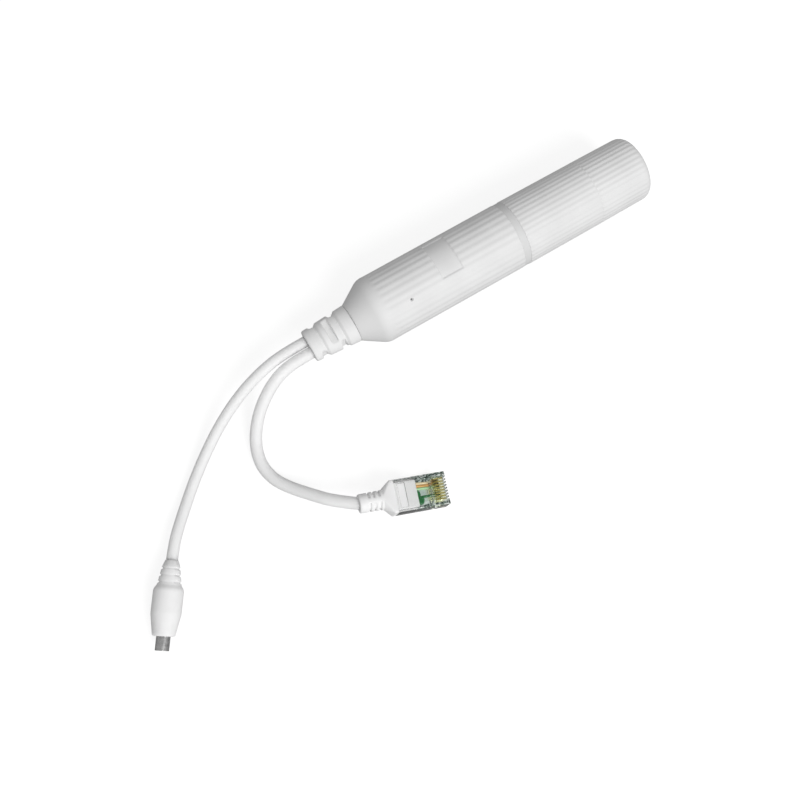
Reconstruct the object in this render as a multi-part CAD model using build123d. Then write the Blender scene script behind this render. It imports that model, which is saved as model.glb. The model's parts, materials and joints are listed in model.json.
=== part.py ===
from build123d import *
import os
from math import atan2, cos, degrees, pi, radians, sin, sqrt, tan

# Weatherproof inline PoE splitter: a ribbed tube housing with a network socket inside, and
# two short leads, one with a modular network plug and one with a round power plug.
# Millimetres. +X runs along the tube towards the end nut and +Z is up. The origin is on the
# floor under the middle of the housing, strain relief included.

# Housing lengths along the axis
relief_length = 17.4
cone_length = 8.5
tube_length = 56.4
gasket_width = 2.6
cover_length = 30.8
nut_length = 21.9

# Network plug body, a standard size, and the socket that takes it
shell_width = 11.68
shell_height = 6.7
plug_side_slack = 0.22
plug_top_slack = 0.2
jack_side_wall = 0.93
jack_wall = 0.9
jack_floor = 0.92
jack_length = 16.0
plug_hole_depth = 12.5
latch_channel_width = 6.4
latch_channel_height = 1.6

# Housing walls and radii
jack_room = 0.9
spigot_wall = 1.0
seam_step = 2.0
neck_radius = 7.1
cover_draft = 0.15
nut_draft = 0.2
shoulder_round = 6.0
nut_end_round = 4.0
tube_wall = 2.2
neck_wall = 2.4
inner_cone_room = 0.5
seam_chamfer = 0.2

# Ribs: grooves cut along the outside
main_rib_count = 30
cover_rib_count = 40
cover_rib_turn = 2.8
nut_rib_turn = 5.3
main_groove_radius = 1.1
fine_groove_radius = 0.8
main_groove_depth = 0.3
cover_groove_depth = 0.25
nut_groove_depth = 0.38
groove_run_in = 1.2
plain_shoulder = 2.6

# Recessed grip pad, placed from the shoulder, and the pinhole; both by their turn from the top
pad_start = 25.4
pad_length = 8.2
pad_span = 73.0
pad_turn = -10.0
pad_depth = 0.6
pad_corner = 1.0
pinhole_turn = 31.3
pinhole_radius = 0.55

# Spigot, its thread root, and the socket in its mouth
spigot_length = 14.0
spigot_step = 0.8
thread_gap = 0.45
thread_end_gap = 1.2
flange_thickness = 3.0
flange_clearance = 0.1
contact_pitch = 1.016
contact_count = 8
spring_radius = 0.2
spring_dip = 2.4
spring_front = 2.4
spring_reach = 9.3

# Gasket
gasket_clearance = 0.1
gasket_recess = 0.3

# Rear cover inside, and its threaded neck
chamber_step = 0.75
cover_end_wall = 3.0
neck_thread_wall = 1.2
neck_thread_length = 10.0
nut_thread_gap = 0.45

# Cable seal and claw ring
seal_radius = 6.8
seal_bore = 3.0
claw_wall = 1.0
claw_clearance = 0.1
claw_start = 1.5
claw_flange_step = 0.4
claw_flange = 1.2
claw_length = 5.4
claw_taper = 0.5
claw_count = 8
claw_slot = 1.3
nut_lip = 1.1
nut_hole_flare = 0.8
nut_cone_clearance = 0.3

# Strain relief, an oval that narrows to its tip
relief_proud = 0.15
relief_root_height = 12.4
relief_tip_width = 12.2
relief_tip_height = 9.2
relief_round = 0.6
notch_width = 2.4
root_ring = 4.8
tip_ring = 2.4
face_slot_gap = 0.4
notch_core_width = 9.6
notch_slope = 0.6
notch_step = 0.35
slot_core_height = 7.4
slot_span = 10.4
anchor_width = 10.4
anchor_height = 7.2
anchor_clearance = 0.05
anchor_flange_width = 12.4
anchor_flange_height = 9.2
anchor_flange_thickness = 2.0

# Leads
network_diameter = 4.4
power_diameter = 4.0
lead_gap = 0.4
lead_sink = 0.8

# Circuit board and the rails that hold it
board_thickness = 1.0
board_room = 0.2
board_end_gap = 1.5
rail_width = 0.9
rail_height = 1.1
rail_clearance = 0.05
rail_stop_gap = 2.0

# Parts on the board, in order from the leads to the socket: offset from the middle line, then
# length, width and height, or radius and height
wire_strip = 3.0
output_capacitor_size = (3.9, 10.5)
output_capacitor_offset = 1.9
output_diode_size = (4.6, 2.6, 2.3)
output_diode_offset = -4.4
input_capacitor_size = (3.15, 11.0)
input_capacitor_offset = 2.6
controller_size = (4.9, 3.9, 1.6)
controller_offset = -3.6
bridge_size = (4.7, 5.0, 2.4)
bridge_offsets = (-3.2, 3.2)
magnetics_size = (7.2, 11.6, 5.2)
package_draft = 0.2
can_bead = 0.4
can_round = 0.6

# Transformer
core_side = 1.7
core_back = 1.8
core_width = 6.0
core_leg = 3.2
core_window_width = 3.0
core_window_height = 6.4
transformer_base_height = 1.4
winding_gap = 0.1
winding_build = 2.3
winding_round = 1.5

# Lamp behind the pinhole, just before the transformer
lamp_setback = 3.77
lamp_radius = 1.5
lamp_rim_radius = 1.8
lamp_rim = 0.8
lamp_length = 4.4
lamp_gap = 0.3
lamp_leg_spread = 1.28
lamp_leg_radius = 0.25

# Wires from the strain relief to the board
network_wire_rows = (-0.9, -2.1, -3.3, -4.5)
network_wire_radius = 0.45
power_wire_rows = (1.6, 3.6)
power_wire_radius = 0.7
wire_landing = 1.5

# Modular network plug
shell_length = 18.7
shell_wall = 0.9
shell_round = 0.35
blade_thickness = 0.35
blade_length = 3.6
blade_height = 3.0
blade_setback = 0.9
blade_sink = 0.45
blade_slot = 0.62
blade_slot_length = 5.0
wire_channel_front = 2.2
wire_radius = 0.5
wire_gap = 0.05
wire_bend = 0.6
bar_window_start = 1.3
bar_window_length = 2.6
bar_window_width = 8.4
wire_run = 10.6
tongue_clearance = 0.1
latch_width = 6.2
latch_tab_width = 3.3
latch_thickness = 1.1
latch_reach = 13.4
latch_root = 1.4
white_orange_bends = [(-8.6, 3.7), (-6.4, 3.56)]
orange_bends = [(-8.6, 2.65), (-6.4, 2.54)]
white_green_bends = [(-8.6, 1.6), (-6.4, 1.52)]
green_bends = [(-9.7, 0.5), (-9.7, -3.4), (-8.3, -3.4), (-8.3, -1.53)]
boot_collar = 1.3
boot_flare = 2.7
boot_height = 7.4
boot_relief_length = 8.6
boot_relief_radius = 3.5
boot_core_radius = 2.75
boot_slot = 0.75
boot_slot_pitch = 1.85
boot_slot_count = 3
boot_web = 1.6
boot_axis = 3.5

# Round power plug
dc_relief_length = 9.2
dc_relief_tip_radius = 3.1
dc_relief_root_radius = 4.0
dc_relief_round = 1.05
dc_body_radius = 5.2
dc_body_length = 8.6
dc_shoulder_length = 1.6
dc_nose_length = 6.0
dc_nose_radius = 4.1
dc_nose_round = 1.4
dc_slot = 0.8
dc_slot_pitch = 2.3
dc_slot_count = 3
dc_slot_end = 1.4
dc_core_radius = 2.8
dc_web = 4.6
barrel_radius = 2.375
barrel_wall = 0.35
barrel_length = 4.7
barrel_sink = 5.0
barrel_root_radius = 2.6
dc_pin_bore = 0.85
dc_pin_wall = 0.3

# Where the two plugs lie on the floor: the nose of the network plug and the cable end of
# the power plug, the way each points, and the network plug's tilt on its latch tab
plug_nose = (-53.1, -66.35)
plug_heading = -18.6
plug_tilt = 12.0
power_plug_end = (-145.7, -40.5)
power_plug_heading = -123.8

# Places along the axis
housing_length = relief_length + cone_length + tube_length + gasket_width + cover_length + nut_length
x_tip = -housing_length / 2
x_neck = x_tip + relief_length
x_shoulder = x_neck + cone_length
x_seam = x_shoulder + tube_length
x_cover = x_seam + gasket_width
x_joint = x_cover + cover_length
x_end = x_joint + nut_length
x_mouth = x_seam + spigot_length
x_nose = x_joint + neck_thread_length
x_fingers = x_nose + claw_flange
x_claw_tip = x_fingers + claw_length

# The socket's outside follows its plug, and the tube follows the socket
plug_hole_width = shell_width + plug_side_slack
plug_hole_height = shell_height + plug_top_slack
jack_width = plug_hole_width + 2 * jack_side_wall
jack_height = plug_hole_height + latch_channel_height + jack_wall + jack_floor
spigot_bore = sqrt((jack_width / 2) ** 2 + (jack_height / 2) ** 2) + jack_room
spigot_radius = spigot_bore + spigot_wall
tube_radius = spigot_radius + seam_step
tube_bore = tube_radius - tube_wall
cover_bore = spigot_radius + thread_gap
chamber_radius = cover_bore - chamber_step
cover_end_radius = tube_radius - cover_draft
nut_end_radius = cover_end_radius - nut_draft
cone_slope = (tube_radius - neck_radius) / cone_length
flange_room = anchor_flange_width / 2 + inner_cone_room

# Cable gland, from the seal outwards
claw_outer = seal_radius + claw_clearance + claw_wall
claw_seat = claw_outer + claw_clearance
neck_thread_radius = claw_seat + neck_thread_wall
claw_flange_radius = neck_thread_radius - claw_flange_step
claw_tip_radius = seal_radius - claw_taper
seal_tip_radius = claw_tip_radius - claw_wall - claw_clearance
nut_hole_radius = claw_tip_radius - nut_lip
nut_bore = neck_thread_radius + nut_thread_gap

# Strain relief and leads
relief_root_width = 2 * (neck_radius + relief_proud)
side_notch_places = (root_ring, relief_length - tip_ring - notch_width)
face_slot_place = root_ring + notch_width + face_slot_gap
lead_spacing = (network_diameter + power_diameter) / 2 + lead_gap

# The plug's inner moulding fills the shell up to where the wires show
tongue_length = shell_length - wire_run

# The tube rests on the two crests beside its lowest groove
half_groove = sqrt(main_groove_radius**2 - (main_groove_radius - main_groove_depth) ** 2)
axis_height = sqrt(tube_radius**2 - half_groove**2)

# Heights inside, from the axis
board_top = -jack_height / 2
board_bottom = board_top - board_thickness
board_start = x_shoulder + board_end_gap
board_end = x_mouth - flange_thickness - flange_clearance
board_width = 2 * sqrt((spigot_bore - board_room) ** 2 - board_bottom**2)

# Parts on the board, spread evenly between the wires and the socket
core_length = core_leg + 2 * (core_window_width + core_side)
core_height = core_window_height + 2 * core_back
winding_width = core_width + 2 * winding_build
row_lengths = (2 * output_capacitor_size[0], core_length, 2 * input_capacitor_size[0],
               bridge_size[0], magnetics_size[0])
row_start = board_start + wire_strip
row_gap = (x_mouth - jack_length - row_start - sum(row_lengths)) / (len(row_lengths) + 1)
row_middles = [row_start + row_gap * (i + 1) + sum(row_lengths[:i]) + length / 2
               for i, length in enumerate(row_lengths)]
x_output, x_transformer, x_input, x_bridges, x_magnetics = row_middles
x_lamp = x_transformer - core_length / 2 - lamp_setback


def turned(points, rounds=()):
    """A solid turned about the X axis from its outline in x and radius."""
    face = make_face(Polyline(*points, close=True))
    for place, radius in rounds:
        corner = face.vertices().sort_by_distance((*place, 0))[0]
        face = fillet(corner, radius)
    return revolve(face, Axis.X, 360)


def block(x_span, y_span, z_span):
    """A box from its lowest and highest values along each axis."""
    size = [high - low for low, high in (x_span, y_span, z_span)]
    middle = [(high + low) / 2 for low, high in (x_span, y_span, z_span)]
    return Pos(*middle) * Box(*size)


def across(x, sketch, length):
    """A sketch drawn across the axis at x, drawn out towards +X. Its own X is the width."""
    plane = Plane(origin=(x, 0, 0), x_dir=(0, 1, 0), z_dir=(1, 0, 0))
    return extrude(plane * sketch, length)


def grooves(start, end, start_radius, end_radius, count, turn, radius, depth, run_in):
    """Cutters for straight ribs, laid along a tube that may narrow from start to end."""
    length = end - start
    tilt = degrees(atan2(start_radius - end_radius, length))
    cutter = turned([(0, 0), (run_in, radius), (length + run_in, radius), (length + run_in, 0)])
    placed = Pos(start, 0, start_radius + radius - depth) * Rot(0, tilt, 0) * cutter
    return [Rot(turn + 360 * i / count, 0, 0) * placed for i in range(count)]


def round_wire(path, radius):
    """A round wire swept along a path."""
    plane = Plane(path @ 0, z_dir=path % 0)
    return sweep(plane * Circle(radius), path=path)


def main_tube():
    x_wall = x_neck + neck_wall
    x_full_bore = x_wall + (tube_bore - flange_room) / cone_slope
    x_step = x_seam - tube_wall
    x_slope = x_step - spigot_step
    outline = [
        (x_neck, 0),
        (x_neck, neck_radius),
        (x_shoulder, tube_radius),
        (x_seam, tube_radius),
        (x_seam, spigot_radius),
        (x_mouth, spigot_radius),
        (x_mouth, spigot_bore),
        (x_step, spigot_bore),
        (x_slope, tube_bore),
        (x_full_bore, tube_bore),
        (x_wall, flange_room),
        (x_wall, 0),
    ]
    tube = turned(outline, [((x_shoulder, tube_radius), shoulder_round)])
    tube = chamfer(tube.edges().filter_by(GeomType.CIRCLE).group_by(Axis.X)[-1].sort_by(
        SortBy.LENGTH)[-1], spigot_wall / 2)
    tube += board_rails()
    tube -= grooves(x_shoulder + plain_shoulder, x_seam, tube_radius, tube_radius, main_rib_count,
                    0, main_groove_radius, main_groove_depth, groove_run_in)
    tube -= grip_pad()
    tube -= pinhole()
    anchor_hole = Ellipse(anchor_width / 2 + anchor_clearance, anchor_height / 2 + anchor_clearance)
    tube -= across(x_neck - neck_wall, anchor_hole, 3 * neck_wall)
    return tube


def board_rails():
    """Two pairs of ledges inside the bore that hold the board by its edges."""
    x_span = (board_start, x_mouth - jack_length - rail_stop_gap)
    rails = []
    for low, high in ((board_bottom - rail_clearance - rail_height, board_bottom - rail_clearance),
                      (board_top + rail_clearance, board_top + rail_clearance + rail_height)):
        inner = board_width / 2 - rail_width
        outer = sqrt((tube_bore + tube_wall / 4) ** 2 - max(low**2, high**2))
        rails.append(block(x_span, (inner, outer), (low, high)))
        rails.append(block(x_span, (-outer, -inner), (low, high)))
    return rails


def grip_pad():
    """Cutter for the shallow rounded recess that interrupts the ribs."""
    x_pad = x_shoulder + pad_start
    floor = tube_radius - pad_depth
    outer = tube_radius + pad_depth
    face = make_face(Polyline((x_pad, floor), (x_pad + pad_length, floor),
                              (x_pad + pad_length, outer), (x_pad, outer), close=True))
    pad = revolve(face, Axis.X, pad_span)
    radial = [e for e in pad.edges().filter_by(GeomType.LINE)
              if abs(e.tangent_at(0).X) < 0.01]
    pad = fillet(radial, pad_corner)
    return Rot(90 - pad_span / 2 + pad_turn, 0, 0) * pad


def pinhole():
    hole = Pos(x_lamp, 0, tube_radius) * Cylinder(
        pinhole_radius, 3 * tube_wall)
    return Rot(pinhole_turn, 0, 0) * hole


def seam_gasket():
    inner = spigot_radius + gasket_clearance
    outer = tube_radius - gasket_recess
    ring = turned([(x_seam, inner), (x_seam, outer), (x_cover, outer), (x_cover, inner)])
    rim = ring.edges().filter_by(GeomType.CIRCLE).filter_by(lambda e: e.radius > outer - 0.01)
    return fillet(rim, seam_chamfer)


def rear_cover():
    x_stop = x_mouth + thread_end_gap
    x_wall = x_joint - cover_end_wall
    outline = [
        (x_cover, cover_bore),
        (x_cover, tube_radius - seam_chamfer),
        (x_cover + seam_chamfer, tube_radius),
        (x_joint - seam_chamfer, cover_end_radius),
        (x_joint, cover_end_radius - seam_chamfer),
        (x_joint, neck_thread_radius),
        (x_nose, neck_thread_radius),
        (x_nose, claw_seat),
        (x_wall, claw_seat),
        (x_wall, chamber_radius),
        (x_stop, chamber_radius),
        (x_stop, cover_bore),
    ]
    cover = turned(outline)
    cover -= grooves(x_cover - fine_groove_radius, x_joint, tube_radius, cover_end_radius,
                     cover_rib_count, cover_rib_turn, fine_groove_radius, cover_groove_depth, 0.01)
    return cover


def claw_ring():
    inner = seal_radius + claw_clearance
    outline = [
        (x_joint + claw_start, inner),
        (x_joint + claw_start, claw_outer),
        (x_nose, claw_outer),
        (x_nose, claw_flange_radius),
        (x_fingers, claw_flange_radius),
        (x_claw_tip, claw_tip_radius),
        (x_claw_tip, claw_tip_radius - claw_wall),
        (x_fingers, inner),
    ]
    ring = turned(outline)
    slot = block((x_fingers, x_claw_tip + 1), (-claw_slot / 2, claw_slot / 2), (0, tube_radius))
    return ring - [Rot(360 * (i + 0.5) / claw_count, 0, 0) * slot for i in range(claw_count)]


def cable_seal():
    outline = [
        (x_joint + claw_start, seal_bore),
        (x_joint + claw_start, seal_radius),
        (x_fingers, seal_radius),
        (x_claw_tip, seal_tip_radius),
        (x_claw_tip, seal_bore),
    ]
    return turned(outline)


def end_nut():
    x_cone_end = x_claw_tip + nut_cone_clearance
    outline = [
        (x_joint, nut_bore),
        (x_joint, cover_end_radius - seam_chamfer),
        (x_joint + seam_chamfer, cover_end_radius),
        (x_end, nut_end_radius),
        (x_end, nut_hole_radius + nut_hole_flare),
        (x_end - nut_hole_flare, nut_hole_radius),
        (x_cone_end, nut_hole_radius),
        (x_cone_end, claw_tip_radius + nut_cone_clearance),
        (x_fingers + nut_cone_clearance, claw_flange_radius + nut_cone_clearance),
        (x_fingers + nut_cone_clearance, nut_bore),
    ]
    nut = turned(outline, [((x_end, nut_end_radius), nut_end_round)])
    nut -= grooves(x_joint - fine_groove_radius, x_end, cover_end_radius, nut_end_radius,
                   cover_rib_count, nut_rib_turn, fine_groove_radius, nut_groove_depth, 0.01)
    return nut


def oval(width, height):
    return Ellipse(width / 2, height / 2)


def side_notch(x_low, side, half_width):
    """Cutter for one notch in the side of the strain relief, narrower at its floor."""
    core = side * notch_core_width / 2
    outer = side * half_width
    beyond = side * relief_root_width
    x_high = x_low + notch_width
    face = make_face(Polyline((x_low, beyond), (x_low, outer), (x_low + notch_slope, core),
                              (x_high - notch_slope, core), (x_high, outer), (x_high, beyond),
                              close=True))
    return extrude(face, relief_root_height, both=True)


def strain_relief():
    root = Plane(origin=(x_neck, 0, 0), x_dir=(0, 1, 0), z_dir=(-1, 0, 0))
    tip = Plane(origin=(x_tip, 0, 0), x_dir=(0, 1, 0), z_dir=(-1, 0, 0))
    body = loft([root * oval(relief_root_width, relief_root_height),
                 tip * oval(relief_tip_width, relief_tip_height)])
    body = fillet(body.edges().group_by(Axis.X)[0], relief_round)
    for place in side_notch_places:
        share = (place + notch_width / 2) / relief_length
        width = relief_root_width + (relief_tip_width - relief_root_width) * share
        height = relief_root_height + (relief_tip_height - relief_root_height) * share
        x_low = x_neck - place - notch_width
        for side in (-1, 1):
            body -= side_notch(x_low, side, width / 2)
        band = across(x_low, Rectangle(relief_root_width * 2, relief_root_height * 2), notch_width)
        body -= band - across(x_low, oval(width, height - 2 * notch_step), notch_width)
    x_low = x_neck - face_slot_place - notch_width
    reach = relief_root_height
    for low, high in ((slot_core_height / 2, reach), (-reach, -slot_core_height / 2)):
        body -= block((x_low, x_low + notch_width), (-slot_span / 2, slot_span / 2), (low, high))
    anchor = across(x_neck, oval(anchor_width, anchor_height), neck_wall)
    flange = across(x_neck + neck_wall, oval(anchor_flange_width, anchor_flange_height),
                    anchor_flange_thickness)
    return body + anchor + flange


def jack_housing():
    x_back = x_mouth - jack_length
    x_flange = x_mouth - flange_thickness
    body = block((x_back, x_flange), (-jack_width / 2, jack_width / 2),
                 (-jack_height / 2, jack_height / 2))
    flange = turned([(x_flange, 0), (x_flange, spigot_bore - flange_clearance),
                     (x_mouth, spigot_bore - flange_clearance), (x_mouth, 0)])
    ceiling = jack_height / 2 - jack_wall
    floor = ceiling - plug_hole_height
    x_span = (x_mouth - plug_hole_depth, x_mouth + 1)
    half = plug_hole_width / 2
    cavity = block(x_span, (-half, half), (floor, ceiling))
    half = latch_channel_width / 2
    channel = block(x_span, (-half, half), (floor - latch_channel_height, floor))
    return body + flange - cavity - channel


def jack_contacts():
    """Spring wires that fold back from the front of the socket into its cavity."""
    ceiling = jack_height / 2 - jack_wall
    high = ceiling - spring_radius - 0.05
    low = ceiling - spring_dip
    x_bend = x_mouth - spring_front
    wires = []
    for i in range(contact_count):
        y = (i - (contact_count - 1) / 2) * contact_pitch
        path = FilletPolyline(
            (x_mouth - plug_hole_depth, y, high),
            (x_bend, y, high),
            (x_mouth - spring_reach, y, low),
            radius=0.45,
        )
        wires.append(round_wire(path, spring_radius))
    return wires


def circuit_board():
    half = board_width / 2
    return block((board_start, board_end), (-half, half), (board_bottom, board_top))


def chip(x, y, size):
    """A moulded package standing on the board, slightly narrower at its top."""
    length, width, height = size
    plane = Plane(origin=(x, y, board_top), z_dir=(0, 0, 1))
    taper = degrees(atan2(package_draft, height))
    return extrude(plane * Rectangle(length, width), height, taper=taper)


def capacitor(x, y, size):
    """A can with a bead near its foot and a rounded top."""
    radius, height = size
    waist = radius - can_bead
    outline = [
        (0, 0), (0, radius), (1.0, radius), (1.0 + can_bead, waist), (1.4 + can_bead, waist),
        (1.4 + 2 * can_bead, radius), (height, radius), (height, 0),
    ]
    can = turned(outline, [((height, radius), can_round)])
    return Pos(x, y, board_top) * Rot(0, -90, 0) * can


def transformer_parts():
    """Ferrite core with two windows, the coil on its middle leg, and the base."""
    x = x_transformer
    low = board_top + transformer_base_height
    middle = low + core_height / 2
    half = core_length / 2
    base = block((x - half, x + half), (-winding_width / 2, winding_width / 2), (board_top, low))
    core = block((x - half, x + half), (-core_width / 2, core_width / 2), (low, low + core_height))
    coil_half = core_leg / 2 + core_window_width - winding_gap
    coil_height = core_window_height / 2 - winding_gap
    coil = block((x - coil_half, x + coil_half), (-winding_width / 2, winding_width / 2),
                 (middle - coil_height, middle + coil_height))
    coil = fillet(coil.edges().filter_by(Axis.Z), winding_round)
    leg_half = core_leg / 2
    for side in (-1, 1):
        near = x + side * leg_half
        far = x + side * (leg_half + core_window_width)
        core -= block((min(near, far), max(near, far)), (-core_width, core_width),
                      (middle - core_window_height / 2, middle + core_window_height / 2))
    coil -= block((x - leg_half - winding_gap, x + leg_half + winding_gap),
                  (-core_width / 2 - winding_gap, core_width / 2 + winding_gap),
                  (low, low + core_height))
    return base, core, coil


def status_led():
    """A small lamp behind the pinhole, standing on two stiff legs from the board."""
    x = x_lamp
    body = turned(
        [(0, 0), (0, lamp_rim_radius), (lamp_rim, lamp_rim_radius), (lamp_rim, lamp_radius),
         (lamp_length, lamp_radius), (lamp_length, 0)],
        [((lamp_length, lamp_radius), lamp_radius * 0.8)])
    foot = tube_bore - lamp_gap - lamp_length
    lamp = Pos(x, 0, 0) * Rot(pinhole_turn, 0, 0) * Pos(0, 0, foot) * Rot(0, -90, 0) * body
    y = -sin(radians(pinhole_turn)) * foot
    z = cos(radians(pinhole_turn)) * foot
    for side in (-1, 1):
        leg_x = x + side * lamp_leg_spread / 2
        path = FilletPolyline((leg_x, y - 0.4, z + 0.6), (leg_x, y + 0.6, z - 1.2),
                              (leg_x, y + 0.6, board_top), radius=0.5)
        lamp += round_wire(path, lamp_leg_radius)
    return lamp


def inner_leads(rows, radius):
    """Wires from the strain relief's inner face down to the board."""
    start = x_neck + neck_wall + anchor_flange_thickness
    land = board_start + wire_landing
    wires = []
    for i, y in enumerate(rows):
        drop = 2.4 + 0.4 * (i % 2)
        path = FilletPolyline((start, y, 0), (start + 3.2, y, 0), (land, y * 1.1, -drop),
                              (land, y * 1.1, board_top), radius=1.1)
        wires.append(round_wire(path, radius))
    return wires


def plug_frame():
    """The network plug's own frame: nose edge at the origin, +X out of the nose."""
    return Location((plug_nose[0], plug_nose[1], 0)) * Location(
        (0, 0, 0), (0, 0, plug_heading)) * Location((0, 0, 0), (0, plug_tilt, 0))


def plug_shell():
    half = shell_width / 2
    shell = block((-shell_length, 0), (-half, half), (0, shell_height))
    shell = fillet(shell.edges().filter_by(Axis.X), shell_round)
    shell = fillet(shell.edges().group_by(Axis.X)[-1].filter_by(Axis.Z), shell_round)
    inner = half - shell_wall
    wire_top = shell_height - blade_sink - blade_height
    shell -= block((-shell_length, -shell_length + tongue_length + 0.1), (-inner, inner),
                   (shell_wall, shell_height - shell_wall))
    shell -= block((-shell_length, -blade_slot_length - 0.5), (-inner, inner),
                   (shell_wall, shell_height - shell_wall))
    wire_floor = wire_top - 2 * (wire_radius + wire_gap)
    shell -= block((-shell_length, -wire_channel_front), (-inner, inner), (wire_floor, wire_top))
    for y in blade_rows():
        shell -= block((-blade_slot_length, 0.5), (y - blade_slot / 2, y + blade_slot / 2),
                       (wire_top, shell_height + 1))
    window_start = -shell_length + bar_window_start
    shell -= block((window_start, window_start + bar_window_length),
                   (-bar_window_width / 2, bar_window_width / 2), (shell_height / 2, shell_height + 1))
    return shell + latch_tab()


def latch_tab():
    """The springy tab under the shell, broad at its root and narrow at its free end."""
    drop = tan(radians(plug_tilt)) * latch_reach
    side = Plane(origin=(0, 0, 0), x_dir=(1, 0, 0), z_dir=(0, -1, 0))
    outline = make_face(Polyline(
        (-latch_root, 0.3), (-latch_root, 0), (-latch_root - 1.0, -0.35),
        (-latch_reach, -drop), (-latch_reach, -drop + latch_thickness),
        (-latch_root - 2.6, 0), (-latch_root - 2.6, 0.3), close=True))
    broad = extrude(side * outline, latch_width / 2, both=True)
    broad &= block((-latch_root - 5.2, 0), (-latch_width, latch_width), (-drop - 1, 1))
    narrow = extrude(side * outline, latch_tab_width / 2, both=True)
    return broad + narrow


def blade_rows():
    return [(i - (contact_count - 1) / 2) * contact_pitch for i in range(contact_count)]


def plug_contacts():
    blades = []
    top = shell_height - blade_sink
    for y in blade_rows():
        blade = block((-blade_setback - blade_length, -blade_setback),
                      (y - blade_thickness / 2, y + blade_thickness / 2),
                      (top - blade_height, top))
        edges = blade.edges().filter_by(Axis.Y).group_by(Axis.Z)[-1]
        blades.append(fillet(edges, 0.6))
    return blades


def plug_conductor(bends, contact_number):
    """One insulated wire from the boot's tongue to its contact. Bends are places in x and y."""
    z = shell_height - blade_sink - blade_height - wire_gap - wire_radius
    end_y = -blade_rows()[contact_number - 1]
    start = (-wire_run, bends[0][1])
    places = [start] + bends + [(-wire_channel_front - 0.1, end_y)]
    path = FilletPolyline(*[(x, y, z) for x, y in places], radius=wire_bend)
    return round_wire(path, wire_radius)


def plug_boot():
    half = shell_width / 2
    z_mid = boot_axis
    x_collar = -shell_length
    x_flare = x_collar - boot_collar
    x_relief = x_flare - boot_flare
    x_back = x_relief - boot_relief_length
    collar_sketch = Pos(0, z_mid) * RectangleRounded(shell_width, boot_height, 0.8)
    collar = across(x_flare, collar_sketch, boot_collar)
    start = Plane(origin=(x_flare, 0, 0), x_dir=(0, 1, 0), z_dir=(1, 0, 0))
    stop = Plane(origin=(x_relief, 0, 0), x_dir=(0, 1, 0), z_dir=(1, 0, 0))
    relief_width = 2 * boot_relief_radius
    flare = loft([stop * Pos(0, z_mid) * RectangleRounded(
        relief_width + 0.4, relief_width, boot_relief_radius - 0.3), start * collar_sketch])
    relief = turned([(x_back, 0), (x_back, boot_relief_radius - 0.2),
                     (x_relief, boot_relief_radius), (x_relief, 0)],
                    [((x_back, boot_relief_radius - 0.2), 0.4)])
    for i in range(boot_slot_count):
        x_high = x_relief - 1.1 - i * boot_slot_pitch
        band = turned([(x_high - boot_slot, boot_core_radius), (x_high, boot_core_radius),
                       (x_high, half), (x_high - boot_slot, half)])
        band -= block((x_back, 0), (-boot_web / 2, boot_web / 2), (-half, half))
        relief -= band
    inner = half - shell_wall - tongue_clearance
    low = shell_wall + tongue_clearance
    tongue = block((x_collar, x_collar + tongue_length), (-inner, inner),
                   (low, shell_height - low))
    tongue = fillet(tongue.edges().group_by(Axis.X)[-1], 0.6)
    return collar + flare + Pos(0, 0, z_mid) * relief + tongue


def power_plug_frame():
    """The power plug's own frame: cable end at the origin, +X towards the barrel."""
    return Location((power_plug_end[0], power_plug_end[1], dc_body_radius)) * Location(
        (0, 0, 0), (0, 0, power_plug_heading))


def dc_lengths():
    x_body = dc_relief_length + dc_shoulder_length
    x_nose_start = x_body + dc_body_length
    return x_body, x_nose_start, x_nose_start + dc_nose_length


def dc_plug_body():
    x_body, x_nose_start, x_front = dc_lengths()
    outline = [
        (0, 0),
        (0, dc_relief_tip_radius),
        (dc_relief_length, dc_relief_root_radius),
        (x_body, dc_body_radius),
        (x_nose_start, dc_body_radius),
        (x_front, dc_nose_radius),
        (x_front, barrel_root_radius),
        (x_front - barrel_sink, barrel_root_radius),
        (x_front - barrel_sink, 0),
    ]
    rounds = [
        ((x_body, dc_body_radius), 2.0),
        ((x_nose_start, dc_body_radius), 2.5),
        ((x_front, dc_nose_radius), dc_nose_round),
        ((0, dc_relief_tip_radius), dc_relief_round),
    ]
    body = turned(outline, rounds)
    for i in range(dc_slot_count):
        place = dc_relief_length - dc_slot_end - i * dc_slot_pitch
        band = turned([(place, dc_core_radius), (place + dc_slot, dc_core_radius),
                       (place + dc_slot, dc_body_radius), (place, dc_body_radius)])
        band -= block((0, x_front), (-dc_web / 2, dc_web / 2), (-dc_body_radius, dc_body_radius))
        body -= band
    return body


def dc_tip_parts():
    """Outer barrel, the insulator inside it, and the centre contact."""
    front = dc_lengths()[2]
    x_low = front - barrel_sink
    x_high = front + barrel_length
    barrel_bore = barrel_radius - barrel_wall
    pin_radius = dc_pin_bore + dc_pin_wall
    barrel = turned([(x_low, barrel_bore), (x_low, barrel_root_radius),
                     (front, barrel_root_radius), (front, barrel_radius), (x_high, barrel_radius),
                     (x_high, barrel_bore)], [((x_high, barrel_radius), 0.15)])
    insulator = turned([(x_low, pin_radius), (x_low, barrel_bore), (x_high - 0.4, barrel_bore),
                        (x_high - 0.4, pin_radius)])
    contact = turned([(x_low, 0), (x_low, pin_radius), (x_high - 0.8, pin_radius),
                      (x_high - 0.8, dc_pin_bore), (x_low + 1.0, dc_pin_bore), (x_low + 1.0, 0)])
    return barrel, insulator, contact


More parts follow.
